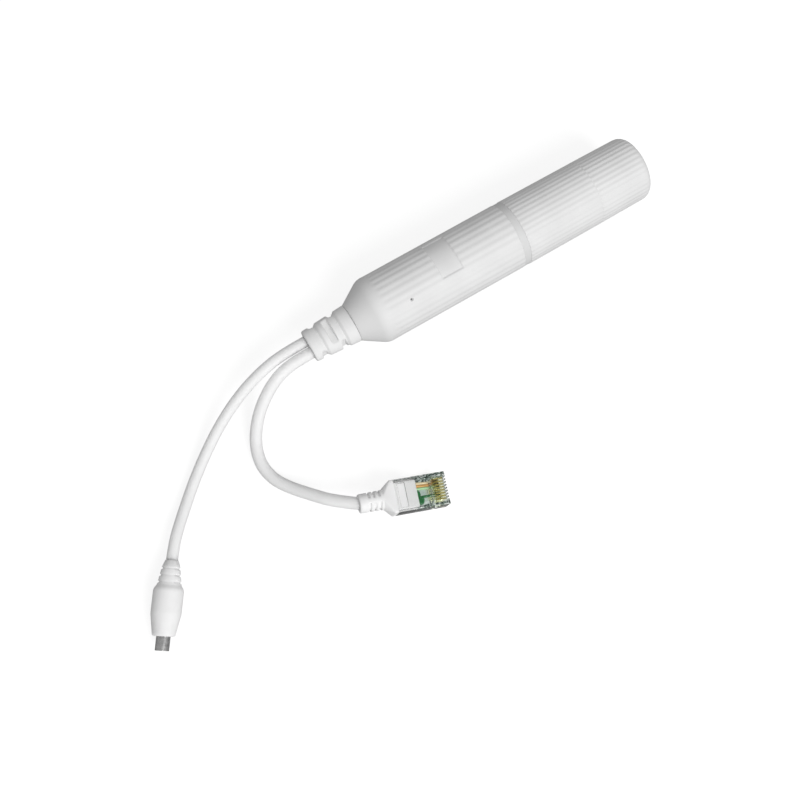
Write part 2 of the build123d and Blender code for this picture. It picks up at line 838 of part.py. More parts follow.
def lead(name, points, diameter):
    """A cable along its route: straight runs joined by arcs as large as the runs allow."""
    points = [Vector(*p) for p in points]
    runs = [b - a for a, b in zip(points, points[1:])]
    radii = []
    for a, b in zip(runs, runs[1:]):
        half_turn = radians(a.get_angle(b)) / 2
        radii.append(0.45 * min(a.length, b.length) / tan(half_turn))
    path = FilletPolyline(*points, radius=radii)
    tube = round_wire(path, diameter / 2)
    expected = pi * diameter**2 / 4 * path.length
    print(name, "radii", [round(r, 1) for r in radii], "length", round(path.length, 1),
          "volume share", round(tube.volume / expected, 4))
    return tube


def network_route():
    """From the strain relief, round in a loop and back up into the boot."""
    half = lead_spacing / 2
    back = -shell_length - boot_collar - boot_flare - boot_relief_length + lead_sink
    end = (plug_frame() * Location((back, 0, boot_axis))).position
    return [
        (x_tip, -half, axis_height),
        (x_tip - 6.6, -half, axis_height),
        (-82.4, -3.2, 11.4),
        (-89.7, -6.4, 9.2),
        (-96.4, -11.4, 6.4),
        (-101.5, -17.9, 3.8),
        (-103.9, -25.5, 2.5),
        (-102.6, -33.0, 2.5),
        (-98.4, -39.4, 3.8),
        (-93.2, -45.6, 6.2),
        (-88.2, -51.4, 8.6),
        (end.X, end.Y, end.Z),
    ]


def power_route():
    """From the strain relief down to the floor and away to the power plug."""
    half = lead_spacing / 2
    end = power_plug_frame().position
    before = (power_plug_frame() * Location((-6.2, 0, 0))).position
    return [
        (x_tip, half, axis_height),
        (x_tip - 7.6, half, axis_height),
        (-84.9, 1.5, 11.6),
        (-93.8, -0.6, 10.0),
        (-102.6, -3.9, 8.0),
        (-110.9, -8.2, 6.0),
        (-118.9, -13.4, 4.0),
        (-127.1, -19.7, 2.5),
        (-134.9, -27.2, 2.9),
        (before.X, before.Y, before.Z),
        (end.X, end.Y, end.Z),
    ]


def save(node, shape, place=None):
    """Writes one piece to its own file. Pieces of the housing are raised to their height."""
    pieces = shape if isinstance(shape, list) else [shape]
    place = place or Pos(0, 0, axis_height)
    moved = [place * piece for piece in pieces]
    solids = [solid for piece in moved for solid in piece.solids()]
    whole = solids[0] if len(solids) == 1 else Compound(children=solids)
    export_step(whole, f"parts/{node}.step")


def main():
    os.makedirs("parts", exist_ok=True)
    save("main_tube", main_tube())
    save("seam_gasket", seam_gasket())
    save("rear_cover", rear_cover())
    save("claw_ring", claw_ring())
    save("cable_seal", cable_seal())
    save("end_nut", end_nut())
    save("strain_relief", strain_relief())
    save("jack_housing", jack_housing())
    save("jack_contacts", jack_contacts())
    save("circuit_board", circuit_board())

    save("output_capacitor", capacitor(x_output, output_capacitor_offset, output_capacitor_size))
    save("output_diode", chip(x_output, output_diode_offset, output_diode_size))
    base, core, coil = transformer_parts()
    save("transformer_base", base)
    save("transformer_core", core)
    save("transformer_winding", coil)
    save("input_capacitor", capacitor(x_input, input_capacitor_offset, input_capacitor_size))
    save("controller_chip", chip(x_input, controller_offset, controller_size))
    save("rectifier_bridges", [chip(x_bridges, y, bridge_size) for y in bridge_offsets])
    save("lan_magnetics", chip(x_magnetics, 0, magnetics_size))
    save("status_led", status_led())
    save("network_leads", inner_leads(network_wire_rows, network_wire_radius))
    save("dc_leads", inner_leads(power_wire_rows, power_wire_radius))

    plug = plug_frame()
    save("plug_shell", plug_shell(), plug)
    save("plug_boot", plug_boot(), plug)
    save("plug_contacts", plug_contacts(), plug)
    save("conductor_white_orange", plug_conductor(white_orange_bends, 1), plug)
    save("conductor_orange", plug_conductor(orange_bends, 2), plug)
    save("conductor_white_green", plug_conductor(white_green_bends, 3), plug)
    save("conductor_green", plug_conductor(green_bends, 6), plug)
    floor = Pos(0, 0, 0)
    save("network_cable", lead("network_cable", network_route(), network_diameter), floor)

    power = power_plug_frame()
    barrel, insulator, contact = dc_tip_parts()
    save("dc_plug_body", dc_plug_body(), power)
    save("dc_plug_barrel", barrel, power)
    save("dc_plug_insulator", insulator, power)
    save("dc_plug_contact", contact, power)
    save("dc_cable", lead("dc_cable", power_route(), power_diameter), floor)


main()
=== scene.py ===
import bmesh
import bpy
import json
import math
from mathutils import Matrix, Vector


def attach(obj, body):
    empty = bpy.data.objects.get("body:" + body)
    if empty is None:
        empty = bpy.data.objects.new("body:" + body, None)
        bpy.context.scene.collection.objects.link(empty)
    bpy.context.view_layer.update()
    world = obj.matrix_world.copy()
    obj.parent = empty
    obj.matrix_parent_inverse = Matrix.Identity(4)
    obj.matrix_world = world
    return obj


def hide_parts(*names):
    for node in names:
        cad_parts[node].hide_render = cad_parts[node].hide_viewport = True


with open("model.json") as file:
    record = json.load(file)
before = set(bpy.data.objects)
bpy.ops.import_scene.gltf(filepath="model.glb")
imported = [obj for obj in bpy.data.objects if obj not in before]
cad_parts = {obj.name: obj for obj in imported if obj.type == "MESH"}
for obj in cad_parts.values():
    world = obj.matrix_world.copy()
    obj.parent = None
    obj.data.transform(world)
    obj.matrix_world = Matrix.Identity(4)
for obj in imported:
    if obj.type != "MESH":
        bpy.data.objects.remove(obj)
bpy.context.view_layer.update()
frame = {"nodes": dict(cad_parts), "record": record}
nodes = frame["nodes"]
slotOf = {s["node"]: s["material_slot"] for s in frame["record"]["subparts"]}
bodyOf = {}
for bodyName, members in frame["record"]["behaviour"]["bodies"].items():
    for member in members:
        bodyOf[member] = bodyName
mm = 0.001
fullTurn = 2 * math.pi
print("frame loaded:", len(nodes), "nodes")

# Camera at the photograph's angle

view = {
    "azimuth": math.radians(-30.469),
    "elevation": math.radians(75.814),
    "distance": 360.668 * mm,
    "target": Vector((-49.348 * mm, -30.222 * mm, 0)),
    "lens": 45,
    "sensor": 36,
    "clipStart": 0.01,
}


def addCamera():
    v = view
    flat = math.cos(v["elevation"])
    away = Vector((
        math.sin(v["azimuth"]) * flat,
        -math.cos(v["azimuth"]) * flat,
        math.sin(v["elevation"]),
    ))
    data = bpy.data.cameras.new("camera")
    data.lens = v["lens"]
    data.sensor_width = v["sensor"]
    data.clip_start = v["clipStart"]
    camera = bpy.data.objects.new("camera", data)
    camera.location = v["target"] + away * v["distance"]
    camera.rotation_euler = away.to_track_quat("Z", "Y").to_euler()
    bpy.context.scene.collection.objects.link(camera)
    bpy.context.scene.camera = camera


addCamera()
print("camera placed")

# Places along the housing's axis, and where the two plugs lie, in millimetres. The network plug
# is placed by its nose, and the power plug by the middle of its cable end

housing = {
    "neck": -51.4, "shoulder": -42.9, "seam": 13.5, "cover": 16.1, "mouth": 27.5, "joint": 46.9,
    "end": 68.8, "radius": 12.5, "coverEnd": 12.35, "nutEnd": 12.15,
    "grooveRadius": 1.1, "grooveDepth": 0.3,  # of the solid's grooves, which set how it rests
    "turns": 480,
}
networkPlug = {
    "at": (-53.1, -66.35, 0), "turn": -18.6, "tilt": 12.0,
    "shell": 18.7, "collar": 1.3, "flare": 2.7, "relief": 8.6, "axis": 3.5, "leadSink": 0.8,
}
powerEnd = {"at": (-145.7, -40.5, 5.2), "turn": -123.8, "tilt": 0.0, "straight": 6.2}


def axisAbove(h):
    # The tube rests on the two crests beside its lowest groove
    halfGrooveSquared = h["grooveRadius"]**2 - (h["grooveRadius"] - h["grooveDepth"])**2
    return math.sqrt(h["radius"]**2 - halfGrooveSquared)


def placeOf(facts):
    return (
        Matrix.Translation(facts["at"])
        @ Matrix.Rotation(math.radians(facts["turn"]), 4, "Z")
        @ Matrix.Rotation(math.radians(facts["tilt"]), 4, "Y")
    )


axisHeight = axisAbove(housing)
plugPlace = placeOf(networkPlug)
powerPlace = placeOf(powerEnd)

# Shader maths: a socket that can be added, taken away and multiplied


class Socket:
    def __init__(self, tree, out):
        self.tree = tree
        self.out = out

    def math(self, operation, *others, clamp=False):
        return self.tree.node("ShaderNodeMath", {"operation": operation, "use_clamp": clamp},
                              dict(enumerate((self,) + others)))

    def __add__(self, other):
        return self.math("ADD", other)

    def __radd__(self, other):
        return self.math("ADD", other)

    def __sub__(self, other):
        return self.math("SUBTRACT", other)

    def __rsub__(self, other):
        return (self * -1.0).math("ADD", other)

    def __mul__(self, other):
        return self.math("MULTIPLY", other)

    def __rmul__(self, other):
        return self.math("MULTIPLY", other)

    def clamped(self):
        return self.math("MULTIPLY", 1.0, clamp=True)

    def spread(self, low, high, toLow=0.0, toHigh=1.0):
        # The value's place between low and high, moved to another range
        return self.tree.node("ShaderNodeMapRange", {"clamp": True}, {
            "Value": self, "From Min": low, "From Max": high, "To Min": toLow, "To Max": toHigh})


class Tree:
    # The nodes of a material, or of the world
    def __init__(self, owner, shader="Principled BSDF"):
        owner.use_nodes = True
        self.owner = owner
        self.nodes = owner.node_tree.nodes
        self.links = owner.node_tree.links
        self.shader = self.nodes[shader]

    def node(self, kind, settings=None, inputs=None, output=0):
        made = self.nodes.new(kind)
        for key, value in (settings or {}).items():
            setattr(made, key, value)
        for key, value in (inputs or {}).items():
            self.put(made.inputs[key], value)
        return Socket(self, made.outputs[output])

    def put(self, socket, value):
        if isinstance(value, Socket):
            self.links.new(value.out, socket)
        else:
            socket.default_value = value

    def place(self):
        return self.node("ShaderNodeTexCoord", output="Object")

    def axes(self, place):
        made = self.node("ShaderNodeSeparateXYZ", inputs={"Vector": place}).out.node
        return [Socket(self, out) for out in made.outputs]

    def noise(self, place, scale, detail=2.0):
        return self.node("ShaderNodeTexNoise", None,
                         {"Vector": place, "Scale": scale, "Detail": detail}, output="Fac")

    def stretched(self, place, factors):
        return self.node("ShaderNodeVectorMath", {"operation": "MULTIPLY"},
                         {0: place, 1: factors})

    def mixed(self, factor, first, second):
        # Two colours mixed by a factor
        return self.node("ShaderNodeMix", {"data_type": "RGBA"},
                         {0: factor, 6: first, 7: second}, output=2)

    def bump(self, height, strength, distance):
        return self.node("ShaderNodeBump", None, {
            "Height": height, "Strength": strength, "Distance": distance}, output="Normal")

    def lightPath(self, ray):
        return self.node("ShaderNodeLightPath", output=ray)

    def surface(self, **inputs):
        for key, value in inputs.items():
            self.put(self.shader.inputs[surfaceInputs[key]], value)
        return self.owner


surfaceInputs = {
    "color": "Base Color", "rough": "Roughness", "metal": "Metallic", "normal": "Normal",
    "ior": "IOR", "alpha": "Alpha", "clear": "Transmission Weight", "soft": "Subsurface Weight",
    "softScale": "Subsurface Scale", "softRadius": "Subsurface Radius",
    "shine": "Specular IOR Level", "glow": "Emission Color", "glowStrength": "Emission Strength",
}


def solid(color, share=1.0):
    return tuple(c * share for c in color) + (1.0,)


def spanOf(pair):
    return [v * mm for v in pair]


plasticLook = {
    "clouds": 90.0, "cloudDetail": 3.0, "cloudRange": (0.3, 0.7),
    "dulling": 260.0, "dullRange": (0.35, 0.7), "smoother": 0.05, "rougher": 0.07,
    "grainStrength": 0.35, "ior": 1.46,
}


def plastic(name, color, rough, grain, grainDepth, shade=0.06, shine=0.5, soft=0.0,
            softScale=2.0 * mm):
    # Moulded plastic: slight cloudiness, uneven dullness and a fine skin
    look = plasticLook
    tree = Tree(bpy.data.materials.new(name))
    place = tree.place()
    cloud = tree.noise(place, look["clouds"], look["cloudDetail"])
    fine = tree.noise(place, grain)
    dull = tree.noise(place, look["dulling"])
    base = tree.mixed(cloud.spread(*look["cloudRange"]), solid(color, 1 - shade), solid(color))
    dulling = dull.spread(*look["dullRange"], rough - look["smoother"], rough + look["rougher"])
    if soft:
        # Light that enters a thin white moulding and comes out beside where it went in
        tree.surface(soft=soft, softScale=softScale, softRadius=(1.0, 1.0, 1.0))
    return tree.surface(color=base, rough=dulling, ior=look["ior"], shine=shine,
                        normal=tree.bump(fine, look["grainStrength"], grainDepth))


metalLook = {
    "lineDetail": 3.0, "lineRange": (0.3, 0.7), "smoother": 0.7, "rougher": 1.3,
    "lineStrength": 0.3, "lineDepth": 0.00001,
    "spots": 900.0, "spotRange": (0.35, 0.75), "spotShare": 0.72,
}


def metal(name, color, rough, brushed):
    # Metal with drawn lines, whose scale brushed gives along each axis, and darker spots
    look = metalLook
    tree = Tree(bpy.data.materials.new(name))
    place = tree.place()
    lines = tree.noise(tree.stretched(place, brushed), 1.0, look["lineDetail"])
    spots = tree.noise(place, look["spots"])
    base = tree.mixed(spots.spread(*look["spotRange"]), solid(color),
                      solid(color, look["spotShare"]))
    polish = lines.spread(*look["lineRange"], rough * look["smoother"], rough * look["rougher"])
    return tree.surface(color=base, rough=polish, metal=1.0,
                        normal=tree.bump(lines, look["lineStrength"], look["lineDepth"]))


clearLook = {
    "flow": 420.0, "flowRange": (0.3, 0.7), "rough": (0.02, 0.09), "ior": 1.53,
    "flowStrength": 0.12, "flowDepth": 0.00003,
    "passing": 0.92,  # how far a lamp's light and bounced light pass straight through
}


def clearPlastic(name, color, paintedLight=None):
    # Clear plastic that lets most of a lamp's light through, as thin walls do
    look = clearLook
    tree = Tree(bpy.data.materials.new(name))
    place = tree.place()
    flow = tree.noise(place, look["flow"])
    base = solid(color)
    # Painted light and painted reflections on the shell, where they are given
    if paintedLight:
        base = withPlugPaintedLight(tree, place, base, paintedLight)
    ray = (tree.lightPath("Is Shadow Ray") + tree.lightPath("Is Diffuse Ray")).clamped()
    return tree.surface(color=base, rough=flow.spread(*look["flowRange"], *look["rough"]),
                        clear=1.0, ior=look["ior"], alpha=1.0 - ray * look["passing"],
                        normal=tree.bump(flow, look["flowStrength"], look["flowDepth"]))


# Painted light on the network plug's shell: paler over the tongue, a painted reflection of the
# gold blades and painted dark reflections in the side walls. A pair of places says between where a
# tone fades in or out, in millimetres along the plug from its nose or across it; the fleck range
# is of the noise's values
plugPaintedLight = {
    # Painted light: the shell paler over the tongue, so that the tongue shows lighter through it
    "paintedPale": (0.975, 0.98, 0.975), "paintedPaleEnd": (-11.6, -10.2),
    # Painted reflection of the gold contact blades, round them
    "paintedGoldReflection": (0.80, 0.82, 0.52), "goldReflectionBack": (-5.7, -4.7), "goldReflectionFront": (-0.6, -1.4),
    "goldReflectionSide": (4.6, 4.1),
    # Painted dark reflections of the surroundings, as flecks in the side walls
    "paintedDarkReflection": (0.05, 0.085, 0.065), "darkReflectionSide": (4.3, 4.7), "darkReflectionRange": (0.49, 0.54),
    "darkReflectionScale": 1100.0, "darkReflectionDetail": 1.0, "darkReflectionStretch": (1.0, 1.0, 0.2),
}


def withPlugPaintedLight(tree, place, base, paintedLight):
    # Painted light on the shell: paler over the tongue, a painted reflection of gold round the
    # contact blades, and painted dark reflections as flecks in the side walls
    x, y, z = tree.axes(place)

    def measured(row):
        return (x * row[0] + y * row[1] + z * row[2]) + row[3] * mm
    inverse = plugPlace.inverted()
    along = measured(inverse[0])
    across = measured(inverse[1]).math("ABSOLUTE")
    # Painted light: paler over the tongue, fading out towards the nose
    pastPaintedPale = along.spread(*spanOf(paintedLight["paintedPaleEnd"]))
    base = tree.mixed(pastPaintedPale, solid(paintedLight["paintedPale"]), base)
    # Painted reflection: gold round the contact blades
    near = along.spread(*spanOf(paintedLight["goldReflectionBack"])) * along.spread(*spanOf(paintedLight["goldReflectionFront"]))
    between = across.spread(*spanOf(paintedLight["goldReflectionSide"]))
    base = tree.mixed(near * between, base, solid(paintedLight["paintedGoldReflection"]))
    # Painted reflections: dark flecks in the side walls, forward of the paler part
    wall = across.spread(*spanOf(paintedLight["darkReflectionSide"])) * pastPaintedPale
    paintedDarkReflection = tree.noise(tree.stretched(place, paintedLight["darkReflectionStretch"]), paintedLight["darkReflectionScale"],
                       paintedLight["darkReflectionDetail"])
    return tree.mixed(wall * paintedDarkReflection.spread(*paintedLight["darkReflectionRange"]), base, solid(paintedLight["paintedDarkReflection"]))


boardLook = {
    "mask": (0.02, 0.20, 0.075), "track": (0.035, 0.30, 0.12), "rough": (0.28, 0.36),
    "weave": 9000.0, "weaveShare": 0.3, "cells": 420.0, "cellRange": (0.30, 0.36),
    "strength": 0.3, "depth": 0.00003,
}


def board(name):
    # Green mask over woven laminate, with paler tracks under it
    look = boardLook
    tree = Tree(bpy.data.materials.new(name))
    place = tree.place()
    x, y, _ = tree.axes(place)
    weave = (x * look["weave"]).math("SINE") * (y * look["weave"]).math("SINE")
    cells = tree.node("ShaderNodeTexVoronoi", {"distance": "MANHATTAN"},
                      {"Vector": place, "Scale": look["cells"]}, output="Distance")
    track = cells.spread(*look["cellRange"])
    height = weave.spread(-1.0, 1.0) * look["weaveShare"] + track
    return tree.surface(color=tree.mixed(track, solid(look["mask"]), solid(look["track"])),
                        rough=track.spread(0, 1, *look["rough"]),
                        normal=tree.bump(height, look["strength"], look["depth"]))


# Each plastic: colour, roughness, scale and depth of its grain; each metal: colour, roughness
# and the scale of its drawn lines
materials = {
    "housing_white": plastic("housing_plastic", (0.80, 0.80, 0.80), 0.55, 2600.0, 0.00002,
                             shine=0.35),
    "gasket_grey": plastic("gasket_plastic", (0.72, 0.722, 0.722), 0.6, 2200.0, 0.00003),
    "lead_white": plastic("jacket_plastic", (0.925, 0.925, 0.925), 0.55, 2400.0, 0.000008,
                          shine=0.35, soft=1.0, softScale=3.5 * mm),
    "overmould_white": plastic("overmould_plastic", (0.92, 0.92, 0.92), 0.55, 2000.0, 0.00003,
                               shine=0.35, soft=0.7),
    "relief_white": plastic("relief_plastic", (0.84, 0.84, 0.84), 0.6, 1800.0, 0.00003,
                            shine=0.35),
    "claw_white": plastic("claw_plastic", (0.78, 0.78, 0.76), 0.4, 2000.0, 0.00002),
    "seal_rubber": plastic("seal_rubber", (0.035, 0.035, 0.038), 0.7, 1800.0, 0.00004, shade=0.3),
    "black_plastic": plastic("black_plastic", (0.018, 0.018, 0.02), 0.42, 2400.0, 0.00002,
                             shade=0.3),
    "chip_black": plastic("package_plastic", (0.022, 0.022, 0.024), 0.6, 3200.0, 0.00003,
                          shade=0.35),
    "ferrite": plastic("ferrite", (0.045, 0.042, 0.04), 0.55, 1500.0, 0.00005, shade=0.4),
    # The shell's tones are painted light: paler over the tongue, painted reflections of the blades
    # and of dark surroundings
    "clear_plastic": clearPlastic("clear_plastic", (0.90, 0.965, 0.932), plugPaintedLight),
    "led_lens": clearPlastic("lamp_lens", (0.35, 0.85, 0.45)),
    "gold_contact": metal("contact_gold", (0.74, 0.64, 0.20), 0.22, (300.0, 2500.0, 2500.0)),
    "nickel_plate": metal("nickel", (0.60, 0.60, 0.60), 0.32, (900.0, 900.0, 3000.0)),
    "can_aluminium": metal("can_sleeve", (0.55, 0.56, 0.60), 0.3, (400.0, 400.0, 3000.0)),
    "copper_winding": metal("winding_copper", (0.72, 0.36, 0.14), 0.35, (200.0, 200.0, 9000.0)),
    "board_green": board("board_laminate"),
}
wireColors = {
    "wire_orange": (0.84, 0.42, 0.12), "wire_white_orange": (0.90, 0.72, 0.46),
    "wire_white_green": (0.50, 0.80, 0.42), "wire_green": (0.008, 0.17, 0.04),
    "wire_red": (0.55, 0.02, 0.02),
}
for name, color in wireColors.items():
    materials[name] = plastic(name, color, 0.35, 2500.0, 0.00001)
print("materials made:", len(materials))


def dress(piece, slot):
    piece.data.materials.clear()
    piece.data.materials.append(materials[slot])


for name, piece in nodes.items():
    dress(piece, slotOf[name])


def addPiece(name, mesh, body, slot, replaces):
    piece = bpy.data.objects.new(name, mesh)
    bpy.context.scene.collection.objects.link(piece)
    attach(piece, body)
    dress(piece, slot)
    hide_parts(*replaces)
    return piece


# Cords, along the same points as their solids


def cordEnds():
    # The cable ends of the two plugs, and a point straight before the power plug
    n = networkPlug
    back = -n["shell"] - n["collar"] - n["flare"] - n["relief"] + n["leadSink"]
    return (tuple(plugPlace @ Vector((back, 0, n["axis"]))),
            tuple(powerPlace @ Vector((-powerEnd["straight"], 0, 0))),
            tuple(powerPlace @ Vector((0, 0, 0))))


bootEnd, powerBefore, powerTip = cordEnds()
cordLook = {
    "roundSteps": 10, "alongSteps": 16,
    "pointRadius": 0.002,  # small, because a curve's box grows by it; the bevel makes up for it
}
cords = {
    "network_cable": {
        "points": [
            (-68.8, -2.3, axisHeight), (-75.4, -2.3, axisHeight), (-82.4, -3.2, 11.4),
            (-89.7, -6.4, 9.2), (-96.4, -11.4, 6.4), (-101.5, -17.9, 3.8), (-103.9, -25.5, 2.5),
            (-102.6, -33.0, 2.5), (-98.4, -39.4, 3.8), (-93.2, -45.6, 6.2), (-88.2, -51.4, 8.6),
            bootEnd,
        ],
        "diameter": 4.4,
        "length": 87.6,
        "pieces": ["plug_boot", "plug_shell", "plug_contacts", "conductor_white_orange",
                   "conductor_orange", "conductor_white_green", "conductor_green"],
    },
    "dc_cable": {
        "points": [
            (-68.8, 2.3, axisHeight), (-76.4, 2.3, axisHeight), (-84.9, 1.5, 11.6),
            (-93.8, -0.6, 10.0), (-102.6, -3.9, 8.0), (-110.9, -8.2, 6.0), (-118.9, -13.4, 4.0),
            (-127.1, -19.7, 2.5), (-134.9, -27.2, 2.9), powerBefore, powerTip,
        ],
        "diameter": 4.0,
        "length": 92.6,
        "pieces": ["dc_plug_body", "dc_plug_barrel", "dc_plug_insulator", "dc_plug_contact"],
    },
}


def addCord(name, facts):
    curve = bpy.data.curves.new(name + "_curve", "CURVE")
    curve.dimensions = "3D"
    curve.bevel_depth = facts["diameter"] / 2 * mm / cordLook["pointRadius"]
    curve.bevel_resolution = cordLook["roundSteps"]
    curve.resolution_u = cordLook["alongSteps"]
    curve.use_fill_caps = True
    spline = curve.splines.new("NURBS")
    spline.points.add(len(facts["points"]) - 1)
    for point, place in zip(spline.points, facts["points"]):
        point.co = (place[0] * mm, place[1] * mm, place[2] * mm, 1)
        point.radius = cordLook["pointRadius"]
    spline.order_u = 3
    spline.use_endpoint_u = True
    piece = bpy.data.objects.new(name + "_lead", curve)
    bpy.context.scene.collection.objects.link(piece)
    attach(piece, "main")
    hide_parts(name)
    dress(piece, "lead_white")
    return piece


cordPieces = {name: addCord(name, facts) for name, facts in cords.items()}
print("cords laid:", ", ".join(cordPieces))

# Housing shells, turned about the tube's axis with ribs that fade out softly. An outline is a
# list of (x, radius, round of the corner, tag of the run that follows)

corner = {"mostOfRun": 0.48, "step": 0.6, "leastSteps": 3}


def smooth(value):
    value = min(max(value, 0.0), 1.0)
    return value * value * (3 - 2 * value)


def rounded(points):
    # The outline with its corners rounded, as (x, radius, tag)
    outline = []
    count = len(points)
    for i, (x, r, radius, tag) in enumerate(points):
        if radius <= 0:
            outline.append((x, r, tag))
            continue
        here = Vector((x, r))
        before = Vector(points[i - 1][:2])
        after = Vector(points[(i + 1) % count][:2])
        tagBefore = points[i - 1][3]
        goIn = (before - here).normalized()
        goOut = (after - here).normalized()
        half = goIn.angle(goOut) / 2
        shorter = min((before - here).length, (after - here).length)
        reach = min(radius / math.tan(half), corner["mostOfRun"] * shorter)
        bend = reach * math.tan(half)
        middle = here + (goIn + goOut).normalized() * (bend / math.sin(half))
        start = here + goIn * reach - middle
        steps = max(corner["leastSteps"], int(bend / corner["step"]) + corner["leastSteps"])
        turn = start.angle_signed(here + goOut * reach - middle)
        for k in range(steps + 1):
            arm = start.copy()
            arm.rotate(Matrix.Rotation(-turn * k / steps, 2))
            place = middle + arm
            outline.append((place.x, place.y, tagBefore if k < steps / 2 else tag))
    return outline


def split(outline, steps):
    # Adds rows along tagged runs, at most the step for that tag apart
    rows = []
    count = len(outline)
    for i, (x, r, tag) in enumerate(outline):
        nextX, nextR, _ = outline[(i + 1) % count]
        rows.append((x, r, tag))
        step = steps.get(tag)
        if not step:
            continue
        cuts = int(math.hypot(nextX - x, nextR - r) / step)
        for k in range(1, cuts + 1):
            share = k / (cuts + 1)
            rows.append((x + (nextX - x) * share, r + (nextR - r) * share, tag))
    return rows


def finishMesh(name, mesh, sharpAngle=38):
    # Smooth faces, with the edges that really are edges kept sharp
    limit = math.radians(sharpAngle)
    for face in mesh.faces:
        face.smooth = True
    for edge in mesh.edges:
        if len(edge.link_faces) == 2 and edge.calc_face_angle(0) > limit:
            edge.smooth = False
    data = bpy.data.meshes.new(name)
    mesh.to_mesh(data)
    mesh.free()
    return data


def turnedMesh(name, rows, turns, radiusAt):
    # A closed ring of rows turned about the axis; radiusAt moves each point in or out
    mesh = bmesh.new()
    rings = []
    for j in range(turns):
        angle = fullTurn * j / turns
        ring = []
        for x, r, tag in rows:
            reach = radiusAt(x, r, tag, angle)
            ring.append(mesh.verts.new((
                x * mm, reach * math.cos(angle) * mm,
                (axisHeight + reach * math.sin(angle)) * mm)))
        rings.append(ring)
    count = len(rows)
    for j in range(turns):
        first, second = rings[j], rings[(j + 1) % turns]
        for i in range(count):
            k = (i + 1) % count
            mesh.faces.new((first[i], second[i], second[k], first[k]))
    bmesh.ops.recalc_face_normals(mesh, faces=mesh.faces)
    return finishMesh(name, mesh)


def applyModifiers(piece):
    bpy.context.view_layer.update()
    graph = bpy.context.evaluated_depsgraph_get()
    applied = bpy.data.meshes.new_from_object(piece.evaluated_get(graph))
    old = piece.data
    piece.modifiers.clear()
    piece.data = applied
    bpy.data.meshes.remove(old)


def ribbing(count, depth, turn, start, end, fadeIn, fadeOut, sharpness):
    # How deep the grooves between the ribs are at a place; turn is theirs from the top
    def cut(x, angle):
        wave = 0.5 + 0.5 * math.cos(count * (angle - math.radians(90 + turn)))
        fade = smooth((x - start) / fadeIn) * smooth((end - x) / fadeOut)
        return depth * wave**sharpness * fade
    return cut


threadForm = {"crest": 1.6, "flank": 5.0, "runIn": 1.2, "runOut": 1.0}


def thread(start, end, pitch, height):
    # How high a thread's ridge stands at a place
    def ridge(x, angle):
        phase = ((x - start) / pitch - angle / fullTurn) % 1.0
        shape = smooth(threadForm["crest"] - abs(phase - 0.5) * threadForm["flank"])
        fade = smooth((x - start) / threadForm["runIn"]) * smooth((end - x) / threadForm["runOut"])
        return height * shape * fade
    return ridge


# Recessed grip pad, between two turns in degrees; its wall slopes over the soft width
pad = {"start": -17.5, "end": -9.3, "low": 43.5, "high": 116.5, "depth": 0.4, "soft": 0.7}


def padCut(x, angle):
    # How far inside the recessed pad a point lies, from 0 outside to 1 on its floor
    turn = math.degrees(angle)
    along = min(x - pad["start"], pad["end"] - x)
    across = min(turn - pad["low"], pad["high"] - turn) * math.radians(housing["radius"])
    return smooth(min(along, across) / pad["soft"] + 0.5)


mainTube = {
    "neckRadius": 7.1, "neckRound": 0.5, "neckWall": -49.0, "coneBore": 6.7,
    "hole": 5.4, "holeHalfWidth": 5.25, "holeHalfHeight": 3.65,  # oval, for the strain relief
    "shoulderRound": 6.0, "edgeRound": 0.2, "boreStart": -43.3, "bore": 10.3, "boreRound": 0.3,
    "boreEnd": 10.5, "spigotBoreStart": 11.3, "spigotBore": 9.5,
    "mouthRound": 0.4, "threadRoot": 10.5,
    "ribs": {"count": 30, "depth": 0.12, "turn": 0, "start": housing["shoulder"] + 2.0,
             "end": housing["seam"] + 9, "fadeIn": 2.4, "fadeOut": 0.5, "sharpness": 1.15},
    "thread": {"start": housing["seam"] + 1.6, "end": housing["mouth"] - 0.6, "pitch": 2.2,
               "height": 0.34},
    "rowSteps": {"cone": 0.8, "ribs": 1.2, "thread": 0.22},
    # Closer rows where the pad starts and ends and where the ribs fade in: middle, reach, step
    "closeRows": ((pad["start"], 0.5, 0.11), (pad["end"], 0.5, 0.11),
                  (housing["shoulder"] + 3.2, 1.6, 0.3)),
    "closeRowsFrom": housing["shoulder"] + 1.5,
}


def tubeRows():
    h, t = housing, mainTube
    points = [
        (h["neck"], t["hole"], 0, None),
        (h["neck"], t["neckRadius"], t["neckRound"], "cone"),
        (h["shoulder"], h["radius"], t["shoulderRound"], "ribs"),
        (h["seam"], h["radius"], t["edgeRound"], None),
        (h["seam"], t["threadRoot"], 0, "thread"),
        (h["mouth"], t["threadRoot"], t["mouthRound"], None),
        (h["mouth"], t["spigotBore"], t["edgeRound"], None),
        (t["spigotBoreStart"], t["spigotBore"], 0, None),
        (t["boreEnd"], t["bore"], 0, None),
        (t["boreStart"], t["bore"], t["boreRound"], None),
        (t["neckWall"], t["coneBore"], t["edgeRound"], None),
        (t["neckWall"], t["hole"], 0, None),
    ]
    rows = split(rounded(points), t["rowSteps"])
    extra = []
    for middle, reach, step in t["closeRows"]:
        extra += [middle - reach + step * k for k in range(int(2 * reach / step) + 1)]
    ribRows = [row for row in rows if row[2] == "ribs"]
    others = [(x, h["radius"], "ribs") for x in extra if t["closeRowsFrom"] < x < h["seam"]]
    first = rows.index(ribRows[0])
    return rows[:first] + sorted(ribRows + others) + rows[first + len(ribRows):]


